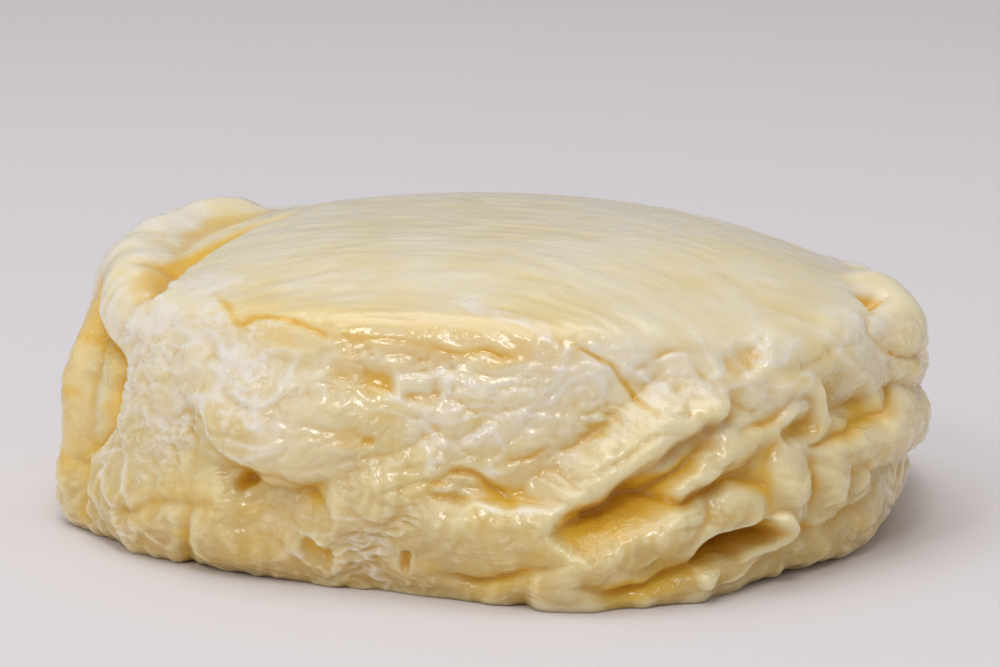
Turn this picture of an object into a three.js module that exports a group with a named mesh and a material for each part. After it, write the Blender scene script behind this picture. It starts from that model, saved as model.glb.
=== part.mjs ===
// A ripe soft cheese: a small slumped round with a domed top and a wall of thick rolls and folds of skin.
// One piece, so one solid. Millimetres, +Z up, standing on Z = 0, with the shown side towards -Y.
import * as THREE from "three";
import { mergeVertices } from "three/addons/utils/BufferGeometryUtils.js";

// Driving dimensions
const crownHeight = 25; // top of the dome above the surface that it stands on
const footRound = 2.4; // how far the flat underside stops short of the base outline
const droop = 0.3; // how far a roll sags down the wall, as a share of its rise
const lumpLength = 9; // spacing of the swellings along a roll
const lumpShare = 0.1; // how much they swell it
const waver = 0.5; // how far the folds wander from their paths
const merge = 5; // how sharply rolls that overlap meet: a higher power keeps a sharper crease

// Facets
const skinDetail = 23; // divisions of each edge of the starting icosahedron
const undersideShare = 0.03; // share of the facets spent on the flat underside
const frontDensity = 0.4; // how much closer the facets lie on the shown side
const wallDensity = 0.42; // power that spreads the facets from crown to foot: a lower one gives the wall more

// The plain body by compass: bearings in degrees from the right-hand side, counter-clockwise from above.
// base, belly and rim are radii, and bellyZ and rimZ the heights of the last two.
const compass = [
  { bearing: 0, base: 33.5, belly: 36.4, bellyZ: 10, rim: 34.2, rimZ: 17.6 },
  { bearing: 40, base: 34, belly: 36, bellyZ: 10, rim: 33, rimZ: 18.2 },
  { bearing: 90, base: 35, belly: 36, bellyZ: 10, rim: 33, rimZ: 19.5 },
  { bearing: 135, base: 36, belly: 36, bellyZ: 9, rim: 32.5, rimZ: 20 },
  { bearing: 180, base: 36.2, belly: 35.2, bellyZ: 8, rim: 31.4, rimZ: 18.5 },
  { bearing: 210, base: 32.6, belly: 33, bellyZ: 8, rim: 29.6, rimZ: 19.5 },
  { bearing: 240, base: 28.6, belly: 30.6, bellyZ: 8, rim: 28, rimZ: 20 },
  { bearing: 262, base: 29, belly: 31, bellyZ: 8, rim: 27, rimZ: 20 },
  { bearing: 282, base: 33.6, belly: 32.5, bellyZ: 7, rim: 28, rimZ: 19.5 },
  { bearing: 315, base: 33.5, belly: 34, bellyZ: 9, rim: 30.5, rimZ: 18.5 },
  { bearing: 340, base: 33.4, belly: 35.6, bellyZ: 10, rim: 34, rimZ: 18 },
];

// Rolls of skin. A path runs through [bearing, percent of section], and the section is 0 at the crown's centre,
// 56 at the rim and 100 at the foot. Paths go from left to right as seen from outside, or down the wall.
// rise is the height of the crest, and above and below are the reach of its slopes on either side.
const rolls = {
  leftLip: { rise: 2.5, above: 4, below: 5.5, path: [[143, 48], [168, 53], [186, 55], [195, 60], [203, 67]] },
  leftFlap: { rise: 2.4, above: 4.5, below: 3.5, path: [[177, 58], [184, 64], [186, 72], [189, 80]] },
  leftKnob: { rise: 2, above: 3.4, below: 3.4, path: [[190, 88], [190, 94], [197, 97]] },
  leftFoot: { rise: 1.8, above: 4.5, below: 4, path: [[201, 90], [211, 92], [222, 91]] },
  middleFoot: { rise: 2.1, above: 5, below: 3.5, path: [[225, 90], [235, 92], [253, 94], [271, 95]] },
  brow: { rise: 1.5, above: 4, below: 1.6, path: [[228, 71], [232, 73], [239, 75], [249, 72]] },
  slantingBrow: { rise: 1.1, above: 3, below: 3, path: [[248, 87], [254, 81], [259, 77], [264, 74]] },
  frontFlap: { rise: 2.6, above: 2.4, below: 5.5, path: [[265, 79], [270, 80], [275, 80], [279, 79]] },
  frontCorner: { rise: 2.2, above: 3.5, below: 3, path: [[276, 95], [279, 93], [284, 96]] },
  cornerFoot: { rise: 2.2, above: 3, below: 3, path: [[284, 96], [291, 95], [298, 94], [303, 95]] },
  longRoll: { rise: 3, above: 3.2, below: 2, path: [[279, 75], [284, 74], [289, 71], [294, 68], [301, 64]] },
  lowerRoll: { rise: 3, above: 2.6, below: 3.4, path: [[279, 88], [285, 83], [292, 79], [297, 80]] },
  lowerKnuckle: { rise: 2.4, above: 2.2, below: 2.6, path: [[298, 83], [302, 79], [305, 79], [309, 82]] },
  tuckedRoll: { rise: 2.4, above: 2.6, below: 1.8, path: [[293, 74], [298, 74], [302, 72], [307, 70]] },
  firstKnuckle: { rise: 2.4, above: 2.2, below: 2.4, path: [[312, 73], [312, 79], [312, 84]] },
  secondKnuckle: { rise: 2.3, above: 2.4, below: 2.4, path: [[320, 76], [321, 81], [321, 86]] },
  smallKnuckle: { rise: 1.4, above: 1.8, below: 1.8, path: [[327, 81], [328, 85]] },
  rightRoll: { rise: 2.4, above: 2.8, below: 3, path: [[319, 77], [328, 76], [337, 77], [347, 77]] },
  rimBand: { rise: 1.8, above: 3.6, below: 3.4, path: [[301, 62], [312, 60], [325, 59], [338, 57]] },
  arch: { rise: 1.7, above: 1.8, below: 1.8, path: [[313, 67], [316, 64], [319, 65], [320, 70]] },
  archFlap: { rise: 1.5, above: 1.6, below: 1.8, path: [[309, 71], [314, 69], [317, 68]] },
  rightLip: { rise: 2.2, above: 3.6, below: 3.6, path: [[345, 61], [350, 57], [354, 52]] },
  rightBulge: { rise: 1.1, above: 3.4, below: 3, path: [[356, 66], [2, 68]] },
  rightFoot: { rise: 1.7, above: 4, below: 3, path: [[306, 94], [320, 92], [340, 92], [358, 92]] },
  strand: { rise: 1.4, above: 1.3, below: 1.3, path: [[304, 94], [311, 94], [313, 90], [310, 86]] },
};

// Creases and hollows, by the same kind of path.
const hollows = {
  behindLeftLip: { depth: 2.8, reach: 3, path: [[164, 33], [179, 35], [189, 40], [197, 45], [203, 51]] },
  besideLeftFlap: { depth: 2.8, reach: 2.8, path: [[187, 56], [195, 60], [201, 65], [200, 71], [200, 78]] },
  overKnob: { depth: 1.4, reach: 1.8, path: [[183, 88], [191, 84], [198, 80]] },
  footCut: { depth: 1.8, reach: 1.8, path: [[223, 84], [223, 91], [220, 98]] },
  dimple: { depth: 1.4, reach: 3.4, path: [[233, 80], [238, 82], [243, 80]] },
  dimpleHole: { depth: 2, reach: 1.8, path: [[230, 77], [232, 77]] },
  overFrontFlap: { depth: 1.3, reach: 1.8, path: [[262, 74], [267, 73], [272, 75]] },
  underFrontFlap: { depth: 1.6, reach: 1.8, path: [[267, 91], [272, 91], [277, 88]] },
  underLongRoll: { depth: 2.2, reach: 2.2, path: [[281, 79], [285, 77], [290, 74], [296, 70], [300, 68]] },
  overCornerFoot: { depth: 1.8, reach: 1.8, path: [[283, 91], [289, 90], [296, 88]] },
  pocket: { depth: 2.6, reach: 2.4, path: [[297, 89], [302, 89], [308, 88]] },
  underTuckedRoll: { depth: 1.4, reach: 1.5, path: [[289, 73], [293, 75], [297, 77], [303, 75], [307, 78]] },
  besideKnuckle: { depth: 1.4, reach: 1.5, path: [[310, 72], [308, 76], [308, 80]] },
  underKnuckles: { depth: 1.8, reach: 2.2, path: [[314, 88], [322, 90], [330, 88]] },
  overRightRoll: { depth: 1.8, reach: 1.8, path: [[318, 74], [323, 73], [328, 72], [335, 70]] },
  underRightRoll: { depth: 1.2, reach: 1.8, path: [[329, 83], [337, 85], [348, 86]] },
  besideArch: { depth: 1.4, reach: 2.2, path: [[322, 68], [326, 67]] },
  underRimBand: { depth: 1.1, reach: 1.5, path: [[304, 69], [309, 69], [314, 67]] },
  lipNotch: { depth: 2, reach: 1.8, path: [[342, 50], [344, 50]] },
  underRightLip: { depth: 1.8, reach: 1.8, path: [[338, 62], [343, 66]] },
  topSkinEdge: { depth: 0.7, reach: 1.8, path: [[226, 56], [246, 56], [264, 57], [281, 58]] },
  frontCrease: { depth: 0.9, reach: 1.5, path: [[285, 56], [289, 61], [294, 66]] },
};

// The far side goes on in the same way, in tiers of rolls that lap over the tier below, from rim to foot.
const farSide = { from: 2, to: 174 };
const farTiers = [
  { percent: 58, count: 6, rise: 1.2, reach: 3.4, slant: 2 },
  { percent: 68, count: 5, rise: 1.8, reach: 3.2, slant: 3 },
  { percent: 80, count: 7, rise: 2.2, reach: 3.2, slant: 3 },
  { percent: 92, count: 9, rise: 1.7, reach: 3.6, slant: 1 },
];
const farRolls = farTiers.flatMap(({ percent, count, rise, reach, slant }, tier) => {
  const length = (farSide.to - farSide.from) / count;
  return Array.from({ length: count }, (_, i) => {
    const left = farSide.from + length * (i + 0.15 * Math.sin(4 * i + tier));
    const tip = slant * Math.sin(2.4 * i + 2 * tier);
    const middle = [left + 0.5 * length, percent - 1];
    const path = [[left, percent - tip], middle, [left + 0.9 * length, percent + tip]];
    return { rise: rise * (1 + 0.25 * Math.sin(5 * i + tier)), above: reach, below: 0.8 * reach, path };
  });
});

// Smooth curve through values at increasing knots, with the slope at each knot taken from its neighbours.
function through(knots, values, at) {
  let i = 0;
  while (i < knots.length - 2 && at > knots[i + 1]) i++;
  const slope = (k) => {
    const a = Math.max(k - 1, 0);
    const b = Math.min(k + 1, knots.length - 1);
    return (values[b] - values[a]) / (knots[b] - knots[a]);
  };
  const step = knots[i + 1] - knots[i];
  const t = (at - knots[i]) / step;
  const rise = values[i + 1] - values[i];
  const a = slope(i) * step - rise;
  const b = rise - slope(i + 1) * step;
  return values[i] + t * rise + t * (1 - t) * ((1 - t) * a + t * b);
}

// The body's sizes at any bearing, from the compass repeated once each way so that the curve closes.
const turns = [-360, 0, 360].flatMap((turn) => compass.map((c) => ({ ...c, bearing: c.bearing + turn })));
const bearings = turns.map((c) => c.bearing);
const column = Object.fromEntries(Object.keys(compass[0]).map((key) => [key, turns.map((c) => c[key])]));
const sizeAt = (key, bearing) => through(bearings, column[key], bearing);

// A point of the plain body, whose section runs from the crown at 0 over the rim and down to the foot at 1.
const sectionKnots = [-0.3, 0, 0.3, 0.46, 0.56, 0.78, 0.95, 1];
const domeShares = [0.86, 1, 0.86, 0.42, 0]; // height of the dome over the rim at the first five knots
const domeRadii = [-0.55, 0, 0.55, 0.86, 1]; // radius there, as a share of the rim's
const footHeight = 1.6; // height of the base outline over its flat underside
function bodyPoint(bearing, along) {
  const rim = sizeAt("rim", bearing);
  const rimZ = sizeAt("rimZ", bearing);
  const base = sizeAt("base", bearing);
  const radii = [...domeRadii.map((share) => share * rim), sizeAt("belly", bearing), base, base - footRound];
  const dome = domeShares.map((share) => rimZ + share * (crownHeight - rimZ));
  const heights = [...dome, sizeAt("bellyZ", bearing), footHeight, 0];
  const radius = through(sectionKnots, radii, along);
  const angle = THREE.MathUtils.degToRad(bearing);
  const z = Math.max(0, through(sectionKnots, heights, along));
  return new THREE.Vector3(radius * Math.cos(angle), radius * Math.sin(angle), z);
}

// Where a point of the unit sphere lands on the plain body.
const lowestWall = 2 * undersideShare - 1;
function onBody(direction) {
  const turn = Math.atan2(direction.y, direction.x);
  const bearing = (THREE.MathUtils.radToDeg(turn - frontDensity * Math.cos(turn)) + 360) % 360;
  if (direction.z < lowestWall) {
    const share = Math.sqrt(Math.max(0, 1 + direction.z) / (1 + lowestWall));
    return bodyPoint(bearing, 1).multiplyScalar(share);
  }
  return bodyPoint(bearing, ((1 - direction.z) / (1 - lowestWall)) ** wallDensity);
}

// A fold's path as short straight steps in space, with the length run so far at each.
const stepsPerSpan = 6;
function layPath(path) {
  const points = path.map(([bearing, percent]) => bodyPoint((bearing + 360) % 360, percent / 100));
  const line = new THREE.CatmullRomCurve3(points).getPoints(stepsPerSpan * (points.length - 1));
  const run = [0];
  line.slice(1).forEach((point, i) => run.push(run[i] + point.distanceTo(line[i])));
  return { line, run };
}

// The nearest place on a laid path: how far off, on which side, and how far along it.
const heightCounts = 0.3; // share of a distance off the surface that counts
const offset = new THREE.Vector3();
const side = new THREE.Vector3();
function nearest({ line, run }, point, normal) {
  let best = { gap: Infinity };
  for (let i = 0; i + 1 < line.length; i++) {
    const step = side.subVectors(line[i + 1], line[i]);
    const t = THREE.MathUtils.clamp(offset.subVectors(point, line[i]).dot(step) / step.lengthSq(), 0, 1);
    offset.addScaledVector(step, -t);
    const off = offset.dot(normal);
    const gap = Math.sqrt(Math.max(0, offset.lengthSq() - (1 - heightCounts) * off * off));
    if (gap < best.gap) {
      best = { gap, isBelow: step.cross(normal).dot(offset) > 0, run: run[i] + t * (run[i + 1] - run[i]) };
    }
  }
  return best;
}

// How far the skin stands off the plain body at a point.
const lay = (fold) => ({ ...fold, laid: layPath(fold.path) });
const allRolls = [...Object.values(rolls), ...farRolls].map(lay);
const allHollows = Object.values(hollows).map(lay);
const bump = (share) => Math.max(0, 1 - share * share);
function reliefAt(point, normal) {
  let crest = 0;
  allRolls.forEach((roll, i) => {
    const { gap, isBelow, run } = nearest(roll.laid, point, normal);
    const lump = 1 + lumpShare * Math.sin((2 * Math.PI * run) / lumpLength + i);
    crest += (lump * roll.rise * bump(gap / (isBelow ? roll.below : roll.above))) ** merge;
  });
  let sink = 0;
  allHollows.forEach((hollow) => {
    sink += hollow.depth * bump(nearest(hollow.laid, point, normal).gap / hollow.reach) ** 1.5;
  });
  return crest ** (1 / merge) - sink;
}

// A slow sideways wander, so that no fold follows its path too neatly.
const wandered = ({ x, y, z }) =>
  new THREE.Vector3(
    x + waver * Math.sin(0.9 * y + 0.7 * z),
    y + waver * Math.sin(0.8 * z + 0.6 * x + 1),
    z + waver * Math.sin(0.7 * x - 0.5 * y + 2),
  );

function makeSkin() {
  const sphere = new THREE.IcosahedronGeometry(1, skinDetail);
  sphere.deleteAttribute("normal");
  sphere.deleteAttribute("uv");
  const skin = mergeVertices(sphere, 1e-5);
  const place = skin.getAttribute("position");
  const point = new THREE.Vector3();
  const onUnderside = [];
  for (let i = 0; i < place.count; i++) {
    point.fromBufferAttribute(place, i).normalize();
    onUnderside.push(point.z < lowestWall);
    place.setXYZ(i, ...onBody(point));
  }
  skin.computeVertexNormals();
  const normals = skin.getAttribute("normal");
  const normal = new THREE.Vector3();
  for (let i = 0; i < place.count; i++) {
    if (onUnderside[i]) continue;
    point.fromBufferAttribute(place, i);
    normal.fromBufferAttribute(normals, i);
    const relief = reliefAt(wandered(point), normal);
    point.addScaledVector(normal, relief);
    const sag = droop * Math.max(0, relief);
    point.add(new THREE.Vector3(0, 0, -1).addScaledVector(normal, normal.z).multiplyScalar(sag));
    place.setXYZ(i, point.x, point.y, Math.max(0, point.z));
  }
  return skin;
}

const rind = new THREE.MeshStandardMaterial({ color: 0xf0dfa8, roughness: 0.4, metalness: 0 });
const cheese = new THREE.Mesh(makeSkin(), rind);
cheese.name = "cheese";
cheese.geometry.computeBoundingBox();
const middle = cheese.geometry.boundingBox.getCenter(new THREE.Vector3());
cheese.geometry.translate(-middle.x, -middle.y, 0); // the origin lies under the middle of the whole round

const part = new THREE.Group();
part.add(cheese);

export default part;
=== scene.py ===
from math import atan, cos, radians, sin

import bmesh
import bpy
import numpy as np
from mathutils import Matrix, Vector, noise


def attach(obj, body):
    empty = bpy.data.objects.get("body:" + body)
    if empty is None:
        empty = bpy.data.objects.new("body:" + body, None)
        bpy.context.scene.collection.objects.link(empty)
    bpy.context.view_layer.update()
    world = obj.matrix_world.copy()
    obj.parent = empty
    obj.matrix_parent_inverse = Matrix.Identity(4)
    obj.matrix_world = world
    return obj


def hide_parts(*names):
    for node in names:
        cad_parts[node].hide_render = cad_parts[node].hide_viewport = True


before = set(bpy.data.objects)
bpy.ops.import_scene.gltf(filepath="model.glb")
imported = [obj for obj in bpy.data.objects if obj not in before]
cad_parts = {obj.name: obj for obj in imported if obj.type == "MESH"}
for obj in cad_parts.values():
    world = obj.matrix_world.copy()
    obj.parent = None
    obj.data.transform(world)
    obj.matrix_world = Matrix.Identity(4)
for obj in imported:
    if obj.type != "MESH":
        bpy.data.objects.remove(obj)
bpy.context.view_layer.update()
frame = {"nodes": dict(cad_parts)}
mm = 0.001
seedStep = 17.3  # how far apart in the noise field two seeds lie
noise.seed_set(2)
print("frame loaded:", ", ".join(frame["nodes"]))

# Plain body, in mm. Each compass row is a bearing and there base, belly, belly height, rim, rim height.
body = {
    "crown": 25,
    "footRound": 2.4,
    "footHeight": 1.6,
    "axis": (-0.04, -1.09),  # where the crown stands in the frame
    "knots": (-0.3, 0, 0.3, 0.46, 0.56, 0.78, 0.95, 1),
    "domeRadii": (-0.55, 0, 0.55, 0.86, 1),
    "domeShares": (0.86, 1, 0.86, 0.42, 0),
    "frontDensity": 0.3,
    "wallDensity": 0.44,
    "undersideShare": 0.02,
    "compass": (
        (0, 33.5, 36.4, 10, 34.2, 17.6),
        (40, 34, 36, 10, 33, 18.2),
        (90, 35, 36, 10, 33, 19.5),
        (135, 36, 36, 9, 32.5, 20),
        (180, 36.2, 35.2, 8, 31.4, 18.5),
        (210, 32.6, 33, 8, 29.6, 19.5),
        (240, 28.6, 30.6, 8, 28, 20),
        (262, 29, 31, 8, 27, 20),
        (282, 33.6, 32.5, 7, 28, 19.5),
        (315, 33.5, 34, 9, 30.5, 18.5),
        (340, 33.4, 35.6, 10, 34, 18),
    ),
}


def through(knots, values, at):  # smooth curve through values at knots, one column of values per point
    knots = np.asarray(knots, float)
    last = len(knots) - 1
    i = np.searchsorted(knots[1:-1], at)
    pick = lambda k: np.take_along_axis(values, k[None], 0)[0]

    def slope(k):
        a, b = np.maximum(k - 1, 0), np.minimum(k + 1, last)
        return (pick(b) - pick(a)) / (knots[b] - knots[a])

    step = knots[i + 1] - knots[i]
    t = (at - knots[i]) / step
    rise = pick(i + 1) - pick(i)
    a = slope(i) * step - rise
    b = rise - slope(i + 1) * step
    return pick(i) + t * rise + t * (1 - t) * ((1 - t) * a + t * b)


def bodyPoint(bearing, along):  # along runs from 0 at the crown over the rim at 0.56 to the foot at 1
    rows = np.array(body["compass"], float)
    turns = np.concatenate([rows[:, 0] - 360, rows[:, 0], rows[:, 0] + 360])
    size = lambda k: through(turns, np.tile(rows[:, k], 3)[:, None].repeat(len(bearing), 1), bearing)
    base, belly, bellyZ, rim, rimZ = (size(k) for k in range(1, 6))
    radii = [share * rim for share in body["domeRadii"]] + [belly, base, base - body["footRound"]]
    heights = [rimZ + share * (body["crown"] - rimZ) for share in body["domeShares"]]
    heights += [bellyZ, np.full_like(base, body["footHeight"]), np.zeros_like(base)]
    radius = through(body["knots"], np.array(radii), along)
    z = np.maximum(0, through(body["knots"], np.array(heights), along))
    angle = np.radians(bearing)
    return np.stack([radius * np.cos(angle), radius * np.sin(angle), z], 1)


# Rolls of skin, in mm. A path runs from left to right as seen from outside, by bearing and percent of
# the section. Then come the crest's heights along it, the reach of its slopes above and below, and how
# softly it starts above.
rolls = {
    "leftLip": (
        [(143, 48), (156, 51), (168, 52), (186, 52.5), (195, 55), (203, 59)],
        (2.4, 2.9, 2.9, 2.6, 1.6, 0.3), 4, 6, 0),
    "leftFlap": ([(177, 58), (184, 64), (186, 72), (189, 80)], (1.6, 2.2, 2.2, 1.4), 3.4, 5, 0),
    "leftKnob": ([(190, 88), (190, 94), (197, 97)], (1.6, 1.8, 1.2), 4, 4, 0),
    "leftFoot": ([(201, 90), (211, 91), (220, 89)], (1, 1.6, 1.6), 5.5, 5, 0.3),
    "middleFoot": ([(225, 90), (235, 92), (253, 94), (271, 95)], (2.2, 2, 1.8, 1.8), 6, 4, 0.6),
    "brow": ([(220, 64), (227, 68.5), (234, 72), (241, 73), (250, 72)], (0.3, 1.3, 1.5, 1.2, 0.4), 7, 3, 1),
    "slantingBrow": (
        [(240, 87), (244, 83), (249, 80), (254, 77.5), (259, 75)],
        (0.5, 1.2, 1.3, 1.1, 0.6), 4, 4, 0.6),
    "frontFlap": ([(261, 80.5), (268, 79.5), (273, 79), (279, 77.5)], (1, 1.9, 2, 2), 2.2, 7, 0),
    "cornerKnob": ([(278, 94.5), (282, 94.5)], (2, 2), 3.4, 3.2, 0),
    "cornerFoot": ([(284.5, 95.5), (288, 95.5)], (1.9, 1.9), 3.2, 3, 0),
    "strandFoot": ([(290.5, 95), (297, 94.5)], (2, 2), 2.8, 3, 0),
    "pocketFoot": ([(297, 95.6), (305, 95.8), (313, 95.4)], (1.7, 1.3, 0.9), 1.6, 2.4, 0),
    "longRoll": (
        [(278, 77.5), (283, 74.5), (287, 71.5), (292, 68.5), (297, 66), (302, 64.8)],
        (1.5, 2.2, 2.5, 2.6, 2.8, 2.8), 3, 2, 0.4),
    "lowerRoll": (
        [(278, 88.5), (282, 84.5), (286, 81.8), (289, 80), (293, 79.5)],
        (1.8, 2.4, 2.8, 2.8, 2.6), 3.2, 4.6, 0),
    "lowerBulge": ([(293, 80), (297, 81)], (2.6, 2.4), 3.2, 4.2, 0),
    "lowerKnuckle": (
        [(300, 82), (302, 80.5), (304, 80), (306, 80.8), (308, 82.5)],
        (2, 2.4, 2.5, 2.4, 1.6), 2.8, 3, 0),
    "tuckedRoll": (
        [(292, 75), (297, 73.6), (300, 72.5), (304, 71), (309, 70.5)],
        (2, 2.3, 2.2, 2, 1.2), 3, 2.5, 0.3),
    "firstKnuckle": ([(312.3, 73.5), (312.3, 78), (312.3, 82)], (1.4, 2.6, 2), 3.8, 3.8, 0),
    "secondKnuckle": ([(321, 77), (320.5, 81), (319.5, 85)], (2, 2.4, 1.4), 3.4, 3.4, 0),
    "thirdKnuckle": ([(327, 79), (328, 82), (328.5, 86)], (1.6, 1.7, 0.9), 2.4, 2.4, 0),
    "rightRoll": (
        [(322, 76.5), (326, 75.5), (332, 75.5), (338, 76.5), (346, 77.5)],
        (1.6, 2.3, 2.4, 2.3, 2), 3, 4.8, 0),
    "rimBand": (
        [(304, 62.5), (310, 62), (318, 61), (328, 60), (338, 58)],
        (0.8, 1.2, 1.2, 1.1, 0.6), 5, 5, 0.6),
    "arch": ([(312.8, 68), (314.5, 65), (317, 63.6), (319.4, 64), (320.8, 66.5), (320.2, 70), (317, 74)],
             (0.8, 1.5, 1.7, 1.7, 1.7, 1.5, 1), 1.8, 1.8, 0),
    "archFlap": ([(308.5, 71), (312, 69.6), (315, 68.2), (317, 68)], (1, 1.2, 1.3, 1.2), 1.6, 1.5, 0),
    "rightLip": ([(344, 62), (349, 57), (354, 52)], (1.8, 2.2, 2), 4.4, 4.4, 0.3),
    "rightBulge": ([(356, 66), (362, 68)], (1.1, 1.1), 4, 3.6, 0),
    "rightFoot": ([(316, 93), (326, 92), (340, 92), (358, 92)], (0.8, 1.4, 1.4, 1.4), 4.6, 3.6, 0.6),
}

# Strands that cross a hollow: path, rise and reach
strands = {
    "pocketStrand": (
        [(310, 84), (311, 86.3), (310.6, 88.6), (309, 90), (306, 91), (303, 91.8), (298, 92)],
        1.3, 0.95),
}

# Creases between them: path, depth, reach above and below, and how much amber shows, partly the rind's own
# amber and partly painted shade in the crease.
creases = {
    "behindLeftLip": (
        [(157, 33), (168, 36), (178, 39), (184, 42), (190, 45.5), (199, 52)],
        3, 0.8, 3.4, 1.8),
    "besideLeftFlap": (
        [(183, 55), (187, 59), (194, 62), (199, 65), (199, 69), (200, 74), (196, 79)],
        2.6, 1.4, 3, 1),
    "besideKnob": ([(193, 82), (197, 86), (196, 92), (199, 95)], 1.2, 1, 1.4, 0.3),
    "overLeftFoot": ([(205, 88), (210, 87), (216, 84.5), (222, 82.5), (226, 81.5)], 0.8, 1.4, 1.2, 0.35),
    "footCut": ([(222, 83), (222, 88), (221, 92), (218, 98)], 1.6, 1.2, 1.6, 0.5),
    "underBrow": ([(229, 75.5), (233, 75), (237, 75.5), (240, 77), (246, 80)], 0.7, 1, 2.2, 0.5),
    "mouth": ([(262, 74.5), (264.5, 73.2), (267.5, 73.2), (270, 74.5), (273, 76)], 1, 0.8, 1, 0.9),
    "overFrontFlap": ([(263, 76.5), (267, 76.3), (271, 76), (275, 75.5), (280, 75.5)], 0.9, 1.6, 0.5, 0.4),
    "slit": ([(273, 71), (275.5, 70.2), (278.5, 69)], 0.7, 0.6, 0.8, 0.6),
    "underFrontFlap": ([(264, 91), (268, 91), (272, 90), (276, 88), (279, 87)], 1.4, 2, 1.2, 0.7),
    "underLongRoll": (
        [(280, 78.5), (284, 76.8), (288, 74.5), (291, 73.5), (295, 72), (300, 69.5)],
        1.8, 0.9, 1.8, 1),
    "underTuckedRoll": (
        [(289.5, 73.8), (292.5, 75), (295, 77), (298, 76.8), (302, 75.8), (305, 75.6), (308.5, 77.5)],
        1.4, 0.9, 0.9, 0.8),
    "lowerSplit": ([(299.3, 78.5), (298, 81), (296, 84)], 0.7, 0.7, 0.7, 0.3),
    "underLowerRoll": (
        [(282, 91), (286, 92.3), (289.5, 92.5), (293, 91), (298, 89.5), (302, 88), (306, 86), (310, 84)],
        1.6, 1, 1.4, 1),
    "besideKnuckle": ([(311, 72.5), (308.7, 76), (308.5, 80)], 0.9, 0.7, 1, 0.8),
    "knuckleGap": ([(316.6, 76), (316.6, 81), (316, 85)], 0.5, 0.8, 0.8, 0.35),
    "thirdGap": ([(324.5, 79), (324.5, 82), (323.5, 85)], 0.4, 0.8, 0.8, 0.3),
    "underKnuckles": ([(311, 86), (316, 88.5), (321, 88.5), (327, 88), (331, 87)], 0.9, 1, 2, 0.6),
    "overRightRoll": ([(318, 74), (323, 73.3), (328, 72.6), (333, 71.6), (338, 70)], 1.6, 1.6, 0.8, 1),
    "underRightRoll": ([(327, 80.5), (331, 83.5), (337, 84.5), (344, 84), (350, 82)], 1.3, 0.9, 2, 0.4),
    "underRimBand": ([(306, 69), (310, 69), (313.5, 67.5), (316, 65.5)], 0.9, 0.9, 0.8, 0.5),
    "besideRightLip": ([(346, 51), (339, 53), (335, 56), (337, 60)], 0.9, 1.2, 1.2, 0.3),
    "underRightLip": ([(339, 61), (343, 63), (347, 65)], 1.2, 0.9, 1.6, 0.5),
    "crack": (
        [(214, 49), (220, 52), (224.5, 55), (228, 53.5), (232, 53), (238, 54.5), (242, 56)],
        0.45, 0.42, 0.42, 1.2),
    "topSkinEdge": ([(242, 56), (249, 57), (256, 57), (263, 57)], 0.25, 0.5, 0.5, 0.25),
    "bandGroove": ([(262, 57), (268, 57), (275, 57.5)], 0.4, 0.6, 0.6, 0.6),
    "frontCrease": ([(284, 55.5), (287.5, 58), (290, 61), (292.3, 64), (294.5, 65.7)], 0.6, 0.5, 0.5, 0.8),
    "sideCrease": ([(291, 61), (293, 59.5), (296, 58), (300, 57), (304, 57)], 0.4, 0.8, 0.5, 0.35),
}

# Soft hollows and pits: path, depth, reach and how much amber shows, partly the rind's own amber and partly
# painted shade.
hollows = {
    "dimple": ([(233, 81), (237, 82), (242, 80)], 1.1, 3.2, 0.3),
    "dimpleSide": ([(228.5, 75.5), (231, 77)], 0.6, 2, 0.35),
    "leftPit": ([(246, 62.8), (249, 62.3), (253, 63)], 0.35, 1.6, 0.6),
    "leftPitDeep": ([(251, 63), (254, 63.2)], 0.2, 1.2, 0.35),
    "hookPit": ([(261.5, 62.4), (261.6, 64), (258.5, 64.6)], 0.35, 0.9, 0.35),
    "dotPit": ([(251.6, 70), (252.4, 69.8)], 0.35, 0.6, 0.6),
    "dotGlow": ([(249, 69.5), (255, 69.5)], 0.15, 2, 0.35),
    "footPit": ([(258, 87.3), (258, 89)], 0.8, 0.6, 0.9),
    "footSlot": ([(241.5, 88.3), (245, 89.2)], 0.8, 0.9, 0.7),
    "longRecess": ([(283, 79.4), (287, 77.2), (291, 75)], 1.3, 2.6, 1),
    "lipNotch": ([(345, 50.5), (346, 51)], 1.6, 1.4, 0.9),
    "besideArch": ([(325, 67), (328.5, 70)], 1.5, 2.6, 0.2),
    "insideArch": ([(313.5, 71.4), (318, 70.6)], 0.8, 1.2, 0.4),
    # no depth, only painted shade: amber over the top's brightly lit front band
    "topShade": ([(225, 52), (245, 54), (263, 54), (280, 54)], 0, 4.5, 0.5),
    "bandDent": ([(308, 58.5), (311, 58.2)], 0.6, 1.6, 0.4),
    # no depth, only painted shade: amber over the left flap, which faces away from the light
    "flapShade": ([(180, 60), (186, 70), (189, 80)], 0, 4.5, 0.6),
    "lipBranch": ([(186, 49), (187, 46.5)], 0.6, 1, 0.6),
    "lipPit": ([(199, 51.5), (200, 52)], 0.4, 1, 0.6),
}

# Steep-sided ones, in the same terms.
pockets = {
    "pocket": ([(300, 89.4), (304, 88.2), (307.8, 86.8)], 3.2, 1.7, 1.8),
    "dimpleHole": ([(230.2, 77.7), (231.2, 77.3)], 1.2, 0.7, 1),
}

folds = {
    "droop": 0.35,
    "lumpLength": 7,
    "lumpShare": 0.05,
    "merge": 4,
    "heightCounts": 0.3,
    "round": 1.3,
    "taper": 2,
    "hollowPower": 1.5,
    "pocketPower": 0.6,
    "strandPower": 0.7,
    "calmReach": 2.5,  # skin this near a pocket or strand is smooth
    "waver": ((0.5, 7, 10), (0.4, 2.2, 11)),  # how far paths stray, over what length, and the noise seed
}

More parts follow.
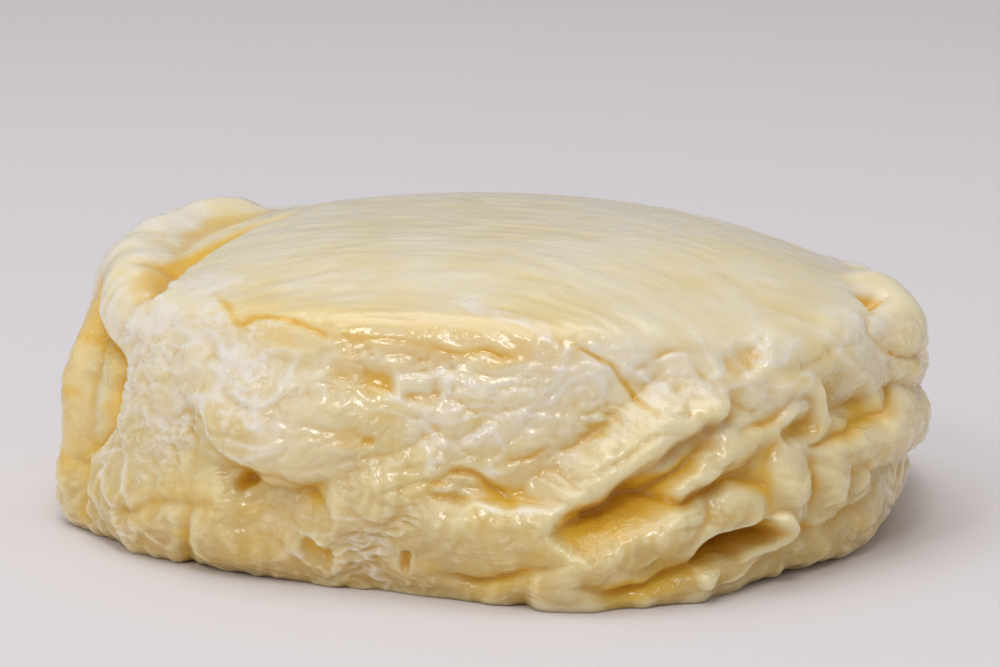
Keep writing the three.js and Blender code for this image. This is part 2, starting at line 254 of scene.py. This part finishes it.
# The far side goes on in the same way: each tier has a percent, a count, a rise, a reach and a slant.
farSide = {
    "from": 2,
    "to": 174,
    "tiers": ((58, 6, 1.2, 3.4, 2), (68, 5, 1.8, 3.2, 3), (80, 7, 2.2, 3.2, 3), (92, 9, 1.7, 3.6, 1)),
}


def farRolls():
    for tier, (percent, count, rise, reach, slant) in enumerate(farSide["tiers"]):
        length = (farSide["to"] - farSide["from"]) / count
        for i in range(count):
            left = farSide["from"] + length * (i + 0.15 * sin(4 * i + tier))
            tip = slant * sin(2.4 * i + 2 * tier)
            middle, right = left + 0.5 * length, left + 0.9 * length
            path = [(left, percent - tip), (middle, percent - 1), (right, percent + tip)]
            high = rise * (1 + 0.25 * sin(5 * i + tier))
            yield path, (0.6 * high, high, 0.7 * high), 1.2 * reach, reach, 0.5


def layPath(path, steps=6):  # short straight steps on the plain body, with the length run at each
    spots = np.array(path, float)
    points = bodyPoint(spots[:, 0] % 360, spots[:, 1] / 100)
    ends = np.concatenate([[2 * points[0] - points[1]], points, [2 * points[-1] - points[-2]]])
    line = []
    for a, b, c, d in zip(ends, ends[1:], ends[2:], ends[3:]):
        for t in np.arange(steps) / steps:
            line.append(0.5 * (2 * b + (c - a) * t + (2 * a - 5 * b + 4 * c - d) * t * t
                               + (3 * b - a - 3 * c + d) * t ** 3))
    line = np.array(line + [points[-1]])
    run = np.concatenate([[0], np.cumsum(np.linalg.norm(np.diff(line, axis=0), axis=1))])
    return line, run


def nearest(path, reach, points, normals):  # points within reach: their gap, side and run along the path
    line, run = layPath(path)
    near = np.all((points > line.min(0) - reach - 1) & (points < line.max(0) + reach + 1), 1)
    chosen = np.nonzero(near)[0]
    spot, normal = points[chosen], normals[chosen]
    gap = np.full(len(chosen), 1e9)
    below = np.zeros(len(chosen), bool)
    at = np.zeros(len(chosen))
    for i, step in enumerate(np.diff(line, axis=0)):
        offset = spot - line[i]
        t = np.clip(offset @ step / (step @ step), 0, 1)
        offset = offset - t[:, None] * step
        off = (offset * normal).sum(1)
        d = np.sqrt(np.maximum(0, (offset ** 2).sum(1) - (1 - folds["heightCounts"]) * off ** 2))
        closer = d < gap
        gap = np.where(closer, d, gap)
        below = np.where(closer, (np.cross(step, normal) * offset).sum(1) > 0, below)
        at = np.where(closer, run[i] + t * (run[i + 1] - run[i]), at)
    return chosen, gap, below, at


def bump(share):
    return np.maximum(0, 1 - share * share)


def noiseAt(points, size, seed):  # Perlin noise at points in mm, with a feature size for each axis
    spots = points / np.asarray(size, float) + seedStep * seed
    return np.array([noise.noise(spot) for spot in spots.tolist()])


def strayed(points, far, size, seed):  # points in mm, moved about by noise
    spots = points / size + seedStep * seed
    return points + far * np.array([noise.noise_vector(spot) for spot in spots.tolist()])


def foldRelief(points, normals):
    spots = points
    for waver in folds["waver"]:
        spots = strayed(spots, *waver)
    crest = np.zeros(len(points))
    sink = np.zeros(len(points))
    amberAndShade = np.zeros(len(points))
    smooth = np.zeros(len(points))
    for i, (path, rises, above, under, soft) in enumerate([*rolls.values(), *farRolls()]):
        chosen, gap, below, at = nearest(path, max(above, under), spots, normals)
        lump = 1 + folds["lumpShare"] * np.sin(2 * np.pi * at / folds["lumpLength"] + i)
        heights = np.array(rises)[:, None].repeat(len(at), 1)
        rise = lump * through(np.linspace(0, 1, len(rises)), heights, at / at.max())
        power = np.where(below, folds["round"], folds["round"] + soft)
        crest[chosen] += (rise * bump(gap / np.where(below, under, above)) ** power) ** folds["merge"]
    for path, depth, above, under, tint in creases.values():
        chosen, gap, below, at = nearest(path, max(above, under), spots, normals)
        ends = np.clip(np.minimum(at, at.max() - at) / folds["taper"], 0, 1)
        share = np.maximum(0, 1 - gap / np.where(below, under, above))
        sink[chosen] += (0.5 + 0.5 * ends) * depth * (1 - np.sqrt(1 - share ** 2))
        amberAndShade[chosen] += (0.5 + 0.5 * ends) * tint * share
    for holes, power in ((hollows, folds["hollowPower"]), (pockets, folds["pocketPower"])):
        for path, depth, reach, tint in holes.values():
            chosen, gap = nearest(path, reach, spots, normals)[:2]
            dip = bump(gap / reach) ** power
            sink[chosen] += depth * dip
            amberAndShade[chosen] += tint * dip
    for path, rise, reach in strands.values():
        chosen, gap = nearest(path, reach, spots, normals)[:2]
        rounded = bump(gap / reach) ** folds["strandPower"]
        sink[chosen] += (-rise - sink[chosen]) * rounded
        amberAndShade[chosen] *= 1 - rounded
    for row in (*pockets.values(), *strands.values()):
        chosen, gap = nearest(row[0], folds["calmReach"], spots, normals)[:2]
        smooth[chosen] = np.maximum(smooth[chosen], bump(gap / folds["calmReach"]))
    return crest ** (1 / folds["merge"]), sink, amberAndShade, smooth


# White film on the skin: path, reach in mm and strength
films = {
    "frontLeft": ([(204, 60), (212, 58), (222, 61), (230, 65)], 7, 0.85),
    "leftFace": ([(202, 64), (206, 70), (214, 71)], 5, 0.7),
    "lip": ([(160, 50), (185, 52), (198, 57)], 4.5, 0.7),
    "lowerLeft": ([(202, 74), (204, 79), (208, 83)], 4.4, 0.65),
    "middle": ([(236, 62), (246, 62.5), (256, 62)], 3, 0.35),
    "middleLow": ([(255, 67), (262, 69), (268, 70)], 4.5, 0.5),
    "plate": ([(264, 64), (272, 65), (280, 63), (284, 61)], 5, 0.65),
    "slope": ([(258, 82), (266, 80), (272, 79)], 4, 0.2),
    "base": ([(238, 87), (246, 86), (254, 88)], 3.4, 0.5),
    "rightPlate": ([(294, 60), (299, 58.5)], 2.6, 0.7),
    "band": ([(306, 60), (314, 58)], 3, 0.6),
    "rim": ([(298, 60), (310, 61), (322, 60), (334, 58)], 5, 0.5),
    "archSide": ([(322, 70), (326, 68)], 2.4, 0.5),
    "streak": ([(264, 44), (272, 48), (281, 54), (286, 56)], 1.5, 0.9),
    "farUpper": ([(6, 60), (40, 62), (80, 59), (120, 63), (160, 60)], 6, 0.75),
    "farLower": ([(24, 82), (60, 80), (96, 84), (140, 78)], 5, 0.6),
}

# Raised threads of film: path, reach and rise in mm
threads = {
    "underHook": ([(246, 63.5), (252, 64.6), (256, 65), (260, 65.6), (262.4, 65), (263, 62)], 0.45, 0.18),
    "plateTop": ([(275, 59.5), (281, 58.8), (284.5, 58.8)], 0.45, 0.16),
    "flapEdge": ([(263, 77.2), (267, 77.3), (271, 77.2), (275, 77), (280, 76.6)], 0.5, 0.2),
    "overMouth": ([(260, 73.4), (263, 72), (267, 72), (270, 73)], 0.4, 0.14),
    "underSlit": ([(270, 72.5), (274, 72), (279, 70.6)], 0.4, 0.12),
}

# Relief too fine for the solid, in mm: height, size and noise seed. Lines of negative height are cut in.
fineSkin = {
    "swell": (0.45, 7, 1),
    "pleats": (-0.42, (4.6, 4.6, 2), 5),
    "web": (-0.26, (2.8, 2.8, 0.9), 6),
    "creping": (0.22, (1.4, 1.4, 0.5), 12),
    "net": (0.18, (4.2, 4.2, 1.6), 13),
    "fibres": (-0.16, (1.1, 5, 1), 14),  # upright, over the wall
    "skirt": (0.38, (2.4, 6, 1), 11),  # upright pleats over the foot
    "grain": (0.05, 0.5, 3),
    "wrinkle": (0.17, (1.2, 8, 8), 4),  # on the top: width, then length
    "relax": 1,
    "cavity": (40, 6),
    "wallRadius": 33,
    "fan": (5, 22, 16),  # how the top's wrinkles swing round: amount, last x and length
    "wallFrom": 0.5,  # where along the section the wall and the foot's pleats begin and the top ends
    "skirtFrom": 0.78,
    "topTo": 0.64,
    "fade": 0.1,
}

# How far each set of lines strays, over what length, and the noise seed
strays = {
    "film": (1.3, 4, 20),
    "web": (1.8, 4.5, 21),
    "around": (1.4, 4, 22),
    "creping": (0.9, 2, 23),
    "net": (2, 4, 24),
}

# What is uneven over the skin: noise size and seed, middle, swing, least and most
uneven = {
    "broken": (3, 16, 0.4, 1.6, 0, 1.2),  # lines that stop and start
    "haze": ((5, 5, 2), 8, 0.5, 1.3, 0, 1),
    "calm": (9, 7, 0.5, 1.3, 0.4, 1),  # some parts of the skin are stretched smooth
    "patchy": (6, 15, 0.4, 1.6, 0, 1),
    "skirt": (12, 9, 0.5, 1.5, 0, 1),
    "yellow": ((4, 4, 2), 17, -0.2, 2, 0, 0.35),
}

# The sphere that becomes the skin, and the part of it, on a radius of 1, that has the finer mesh
sphere = {"subdivisions": 7, "shownBack": 0.25, "shownLow": -0.9, "shownHigh": 0.5}


def makeSkin():
    bm = bmesh.new()
    bmesh.ops.create_icosphere(bm, subdivisions=sphere["subdivisions"], radius=1)
    isShown = lambda v: v.y < sphere["shownBack"] and sphere["shownLow"] < v.z < sphere["shownHigh"]
    shown = [e for e in bm.edges if all(isShown(v.co) for v in e.verts)]
    bmesh.ops.subdivide_edges(bm, edges=shown, cuts=1, use_grid_fill=True)
    bmesh.ops.triangulate(bm, faces=[f for f in bm.faces if len(f.verts) > 3])
    mesh = bpy.data.meshes.new("cheeseSkin")
    bm.to_mesh(mesh)
    bm.free()
    return mesh


def readVectors(mesh, name):
    flat = np.empty(3 * len(mesh.vertices))
    mesh.vertices.foreach_get(name, flat)
    return flat.reshape(-1, 3)


def onBody(direction):  # where points of the unit sphere land on the plain body
    direction = direction / np.linalg.norm(direction, axis=1)[:, None]
    turn = np.arctan2(direction[:, 1], direction[:, 0])
    bearing = np.degrees(turn - body["frontDensity"] * np.cos(turn)) % 360
    lowest = 2 * body["undersideShare"] - 1
    z = direction[:, 2]
    along = np.minimum(1, (1 - z) / (1 - lowest)) ** body["wallDensity"]
    points = bodyPoint(bearing, along)
    share = np.sqrt(np.clip((1 + z) / (1 + lowest), 0, 1))
    return points * np.where(z < lowest, share, 1)[:, None], bearing, along, z < lowest


def topLines(points):  # a number that stays the same along each wrinkle of the top
    amount, last, length = fineSkin["fan"]
    return points[:, 1] + amount * np.exp(np.minimum(points[:, 0], last) / length)


def ridges(points, size, seed):  # 1 along thin lines, down to 0 between them
    return 1 - np.minimum(1, 2.4 * np.abs(noiseAt(points, size, seed)))


def unevenness(name, points):
    size, seed, middle, swing, least, most = uneven[name]
    return np.clip(middle + swing * noiseAt(points, size, seed), least, most)


def filmOver(points, normals):
    film = np.zeros(len(points))
    raised = np.zeros(len(points))
    for path, reach, strength in films.values():
        chosen, gap = nearest(path, reach, points, normals)[:2]
        film[chosen] = np.maximum(film[chosen], strength * bump(gap / reach) ** 0.7)
    for path, reach, rise in threads.values():
        chosen, gap = nearest(path, reach, points, normals)[:2]
        raised[chosen] = np.maximum(raised[chosen], rise * bump(gap / reach) ** 2)
    return film, raised


def fineRelief(points, normals, bearing, along, crest, smooth):
    spots = strayed(points, *strays["film"])
    film, raised = filmOver(spots, normals)
    unrolled = np.stack([fineSkin["wallRadius"] * np.radians(bearing), points[:, 2], 0 * bearing], 1)
    around = strayed(unrolled, *strays["around"])
    ridged = {
        "pleats": ridges(spots, *fineSkin["pleats"][1:]) ** 1.5,
        "web": ridges(strayed(points, *strays["web"]), *fineSkin["web"][1:]) ** 2,
        "creping": ridges(strayed(points, *strays["creping"]), *fineSkin["creping"][1:]) ** 2,
        "net": ridges(strayed(points, *strays["net"]), *fineSkin["net"][1:]) ** 2,
        "fibres": ridges(around, *fineSkin["fibres"][1:]) ** 2,
    }
    broken = unevenness("broken", points)
    for name in ("web", "net", "creping"):
        ridged[name] *= broken
        broken = uneven["broken"][-1] - broken
    wall = np.clip((along - fineSkin["wallFrom"]) / fineSkin["fade"], 0, 1)
    top = np.clip((fineSkin["topTo"] - along) / fineSkin["fade"], 0, 1)
    low = np.clip((along - fineSkin["skirtFrom"]) / fineSkin["fade"], 0, 1) * unevenness("skirt", points)
    skin = np.maximum(wall, np.minimum(1, crest))
    haze = unevenness("haze", spots)
    calm = unevenness("calm", points)
    rough = {
        "pleats": wall * calm,
        "web": (0.2 + skin) * calm,
        "creping": (0.2 + skin) * calm,
        "net": skin * film,
        "fibres": skin * unevenness("patchy", points),
    }
    relief = wall * fineSkin["swell"][0] * noiseAt(points, *fineSkin["swell"][1:])
    for name, lines in ridged.items():
        relief += rough[name] * fineSkin[name][0] * lines
    relief += fineSkin["grain"][0] * noiseAt(points, *fineSkin["grain"][1:])
    relief += low * fineSkin["skirt"][0] * (ridges(around, *fineSkin["skirt"][1:]) - 0.5)
    relief *= 1 - 0.9 * smooth
    fanned = np.stack([topLines(points), points[:, 0], points[:, 1]], 1)
    wrinkles = ridges(fanned, *fineSkin["wrinkle"][1:]) * (0.5 + 0.5 * haze)
    relief += top * fineSkin["wrinkle"][0] * wrinkles + raised
    film *= 0.1 + 0.5 * haze + 0.7 * ridged["net"] + 0.5 * ridged["creping"]
    film += 2.6 * raised + wall * (0.14 * ridged["creping"] + 0.15 * ridged["net"] * (1 - haze))
    yellow = wall * np.clip(1 - film, 0, 1) * unevenness("yellow", spots)
    return relief, film + top * (0.1 * haze + 0.36 * wrinkles), yellow


def spread(values, edges, counts):  # each vertex takes the mean of its neighbours
    total = np.zeros_like(values)
    for column in range(values.shape[1]):
        for a, b in ((0, 1), (1, 0)):
            total[:, column] += np.bincount(edges[:, a], values[edges[:, b], column], len(values))
    return total / counts[:, None]


def hollowness(mesh, rounds):  # how far each vertex lies under the skin around it, in mm
    edges = np.empty(2 * len(mesh.edges), np.int32)
    mesh.edges.foreach_get("vertices", edges)
    edges = edges.reshape(-1, 2)
    counts = np.bincount(edges.ravel(), minlength=len(mesh.vertices))
    start = readVectors(mesh, "co")
    spots = start
    for _ in range(rounds):
        spots = spread(spots, edges, counts)
    return ((spots - start) * readVectors(mesh, "normal")).sum(1) / mm


def relax(mesh, rounds):  # eases sharp kinks where folds meet
    bm = bmesh.new()
    bm.from_mesh(mesh)
    for _ in range(rounds):
        bmesh.ops.smooth_vert(
            bm, verts=bm.verts, factor=0.5, use_axis_x=True, use_axis_y=True, use_axis_z=True)
    bm.to_mesh(mesh)
    bm.free()
    mesh.update()


def modelCheese():
    mesh = makeSkin()
    plain, bearing, along, under = onBody(readVectors(mesh, "co"))
    mesh.vertices.foreach_set("co", plain.ravel())
    mesh.update()
    normals = readVectors(mesh, "normal")
    crest, sink, amberAndShade, smooth = foldRelief(plain, normals)
    smooth = np.maximum(smooth, np.minimum(0.7, amberAndShade))
    fine, film, yellow = fineRelief(plain, normals, bearing, along, crest, smooth)
    amberAndShade += yellow
    relief = np.where(under, 0, crest - sink + fine)
    down = np.array([0, 0, -1.0]) + normals * normals[:, 2:]
    spots = plain + normals * relief[:, None] + down * np.where(under, 0, folds["droop"] * crest)[:, None]
    spots[:, 2] = np.maximum(0, spots[:, 2])
    spots[:, :2] += body["axis"]
    mesh.vertices.foreach_set("co", (spots * mm).ravel())
    relax(mesh, fineSkin["relax"])
    mesh.shade_smooth()
    hollow, crease = (hollowness(mesh, rounds) for rounds in fineSkin["cavity"])
    for name, values in {"amberAndShade": amberAndShade, "film": film, "hollow": hollow, "crease": crease}.items():
        mesh.attributes.new(name, "FLOAT", "POINT").data.foreach_set("value", values)
    piece = bpy.data.objects.new("cheeseSkin", mesh)
    bpy.context.collection.objects.link(piece)
    print("cheese modelled:", len(mesh.polygons), "faces")
    return piece


class Shade:  # a socket in a node tree, with the sums and products that materials need
    def __init__(self, tree, socket=None):
        self.tree, self.socket = tree, socket

    def feed(self, target, value):
        if isinstance(value, Shade):
            self.tree.links.new(value.socket, target)
        else:
            target.default_value = value

    def node(self, kind, settings=None, inputs=None, output=0):
        made = self.tree.nodes.new(kind)
        for key, value in (settings or {}).items():
            setattr(made, key, value)
        for key, value in (inputs or {}).items():
            self.feed(made.inputs[key], value)
        return Shade(self.tree, made.outputs[output])

    def math(self, operation, *values, clamp=False):
        settings = {"operation": operation, "use_clamp": clamp}
        return self.node("ShaderNodeMath", settings, dict(enumerate(values)))

    def __add__(self, other):
        return self.math("ADD", self, other)

    def __sub__(self, other):
        return self.math("SUBTRACT", self, other)

    def __rsub__(self, other):
        return self.math("SUBTRACT", other, self)

    def __mul__(self, other):
        return self.math("MULTIPLY", self, other)

    __radd__, __rmul__ = __add__, __mul__

    def clamped(self):
        return self.math("ADD", self, 0, clamp=True)

    def between(self, low, high):  # 0 at low, 1 at high, smooth in between
        settings = {"interpolation_type": "SMOOTHSTEP"}
        return self.node("ShaderNodeMapRange", settings, {"Value": self, "From Min": low, "From Max": high})

    def mixed(self, a, b):  # colour a where this is 0 and b where it is 1
        return self.node("ShaderNodeMix", {"data_type": "RGBA"}, {0: self, 6: a, 7: b}, 2)

    def attribute(self, name):
        return self.node("ShaderNodeAttribute", {"attribute_name": name}, output="Fac")

    def noise(self, spot, scale, detail, distortion=0):
        inputs = {"Vector": spot, "Scale": scale, "Detail": detail, "Distortion": distortion}
        return self.node("ShaderNodeTexNoise", {"noise_dimensions": "3D"}, inputs)


def colour(hexText):  # a screen colour as the linear one that shaders use
    parts = [int(hexText[i:i + 2], 16) / 255 for i in (0, 2, 4)]
    return (*[c / 12.92 if c <= 0.04045 else ((c + 0.055) / 1.055) ** 2.4 for c in parts], 1)


rind = {
    # painted highlight for the crests of the folds
    "crest": "f1e4b8",
    "cream": "ede2c4",
    "butter": "eadaa5",
    # painted shade: deeper yellow for the lower wall
    "lowWallShade": "d5b866",
    # amber and deeper amber: partly the rind's own colour, partly painted shade in creases and hollows
    "amberAndShade": "e6bb40",
    "deepAmberAndShade": "e2ac2a",
    # painted shade at the foot
    "foot": "c09a4c",
    "film": "efe8de",
    "clouds": (140, 3),  # scale and detail of each noise, and how far the beads are twisted
    "clusters": (260, 1),
    "beads": (1300, 2, 0.5),
    "beadStrength": 0.8,
    "beadHeight": 0.2 * mm,
    "roughness": 0.2,
    "filmRoughness": 0.14,
    "coat": 0.4,
    "coatRoughness": 0.1,
    "glow": 0.8,
    "glowDepth": 2.6 * mm,
    "glowColour": (1, 1, 0.75),
}


def rindMaterial():
    material = bpy.data.materials.new("moistRind")
    material.use_nodes = True
    tree = material.node_tree
    shader = tree.nodes["Principled BSDF"]
    shade = Shade(tree)
    spot = shade.node("ShaderNodeTexCoord", output="Object")
    clouds, clusters, beads = (shade.noise(spot, *rind[name]) for name in ("clouds", "clusters", "beads"))
    amberAndShade, film, hollow, crease = (shade.attribute(name) for name in ("amberAndShade", "film", "hollow", "crease"))
    height = shade.node("ShaderNodeSeparateXYZ", None, {"Vector": spot}, "Z")
    beads = beads * (clusters.between(0.45, 0.62) * height.between(20 * mm, 17 * mm) * 1.6 + 0.4)
    base = clouds.between(0.35, 0.7).mixed(colour(rind["cream"]), colour(rind["butter"]))
    # painted shade: the wall turns a deeper honey yellow towards the bottom, standing in for the light it
    # gets less of lower down
    base = (height.between(20 * mm, 2 * mm) * 0.75).mixed(base, colour(rind["lowWallShade"]))
    # painted shade: darker brownish yellow over the lowest 5 mm, where the foot sits in shade
    base = (height.between(5 * mm, 0) * 0.5).mixed(base, colour(rind["foot"]))
    # painted highlight: pale cream mixed onto convex crests and fine ridges, found from the mesh's
    # hollowness
    base = (hollow.between(-0.03, -0.45) * 0.5).mixed(base, colour(rind["crest"]))
    base = (crease.between(0, -0.08) * 0.3).mixed(base, colour(rind["crest"]))
    # amber towards creases and hollows, from the tints and the mesh's hollowness: partly the rind's own
    # colour, partly painted shade
    depth = amberAndShade.between(0.05, 1.1) * 0.8 + hollow.between(0.02, 0.5) * 0.45
    depth = depth + crease.between(0.01, 0.1) * 0.2
    base = depth.clamped().mixed(base, colour(rind["amberAndShade"]))
    # deeper amber in the deepest creases: partly the rind's own colour, partly painted shade
    base = (amberAndShade.between(0.9, 1.8) * 0.7).mixed(base, colour(rind["deepAmberAndShade"]))
    cover = (film - hollow.between(0, 0.5) * 0.6 - amberAndShade * 0.7).between(0.05, 1)
    base = (cover * 0.8).mixed(base, colour(rind["film"]))
    shade.feed(shader.inputs["Base Color"], base)
    shade.feed(shader.inputs["Roughness"], cover * rind["filmRoughness"] + rind["roughness"])
    beaded = {"Strength": rind["beadStrength"], "Distance": rind["beadHeight"], "Height": beads}
    shade.feed(shader.inputs["Normal"], shade.node("ShaderNodeBump", None, beaded))
    shader.inputs["Coat Weight"].default_value = rind["coat"]
    shader.inputs["Coat Roughness"].default_value = rind["coatRoughness"]
    shader.inputs["Subsurface Weight"].default_value = rind["glow"]
    shader.inputs["Subsurface Radius"].default_value = rind["glowColour"]
    shader.inputs["Subsurface Scale"].default_value = rind["glowDepth"]
    return material


studio = {
    "floor": "e4e0e2",
    "world": "dcd9dc",
    "worldStrength": 0.58,
    "floorSize": 6,
    "floorRoughness": 0.7,
    "aim": (0, 0, 0.012),
    "lights": (  # name, place in metres, width, power
        ("topSoftbox", (-0.1, 0.05, 0.75), 0.6, 2),
        ("frontSoftbox", (0, -0.4, 0.65), 0.14, 0.72),
        ("sideSoftbox", (-0.3, -0.45, 0.5), 0.1, 0.5),
        ("leftFill", (-0.6, -0.35, 0.35), 0.5, 0.6),
    ),
}


def buildStudio():
    bm = bmesh.new()
    bmesh.ops.create_grid(bm, x_segments=1, y_segments=1, size=studio["floorSize"] / 2)
    mesh = bpy.data.meshes.new("floor")
    bm.to_mesh(mesh)
    bm.free()
    floor = bpy.data.objects.new("floor", mesh)
    bpy.context.collection.objects.link(floor)
    material = bpy.data.materials.new("paleFloor")
    material.use_nodes = True
    shader = material.node_tree.nodes["Principled BSDF"]
    shader.inputs["Base Color"].default_value = colour(studio["floor"])
    shader.inputs["Roughness"].default_value = studio["floorRoughness"]
    mesh.materials.append(material)
    world = bpy.data.worlds.new("studioWorld")
    world.use_nodes = True
    background = world.node_tree.nodes["Background"]
    background.inputs["Color"].default_value = colour(studio["world"])
    background.inputs["Strength"].default_value = studio["worldStrength"]
    bpy.context.scene.world = world
    for name, place, width, power in studio["lights"]:
        data = bpy.data.lights.new(name, "AREA")
        data.size = width
        data.energy = power
        lamp = bpy.data.objects.new(name, data)
        lamp.location = place
        towards = Vector(studio["aim"]) - Vector(place)
        lamp.rotation_euler = towards.to_track_quat("-Z", "Y").to_euler()
        bpy.context.collection.objects.link(lamp)
    bpy.context.scene.view_settings.view_transform = "Standard"
    print("studio built:", len(studio["lights"]), "lights")


# The photo's camera: image size and focal length in pixels, where the crown's foot lands in the image,
# how far off it is in mm, and how many degrees down the camera looks at it.
photo = {
    "width": 1000,
    "height": 667,
    "focalPixels": 3712,
    "sensor": 36,
    "footX": 490,
    "footY": 505,
    "distance": 320,
    "down": 14,
}


def placeCamera():
    data = bpy.data.cameras.new("photoCamera")
    data.sensor_width = photo["sensor"]
    data.lens = photo["focalPixels"] / photo["width"] * data.sensor_width
    camera = bpy.data.objects.new("photoCamera", data)
    down = radians(photo["down"])
    x, y = body["axis"]
    camera.location = Vector((x, y - photo["distance"] * cos(down), photo["distance"] * sin(down))) * mm
    pitch = down - atan((photo["footY"] - photo["height"] / 2) / photo["focalPixels"])
    yaw = atan((photo["footX"] - photo["width"] / 2) / photo["focalPixels"])
    forward = Vector((-sin(yaw) * cos(pitch), cos(yaw) * cos(pitch), -sin(pitch)))
    camera.rotation_euler = forward.to_track_quat("-Z", "Y").to_euler()
    bpy.context.collection.objects.link(camera)
    bpy.context.scene.camera = camera


buildStudio()
placeCamera()
cheese = modelCheese()
cheese.data.materials.append(rindMaterial())
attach(cheese, "root")
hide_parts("cheese")
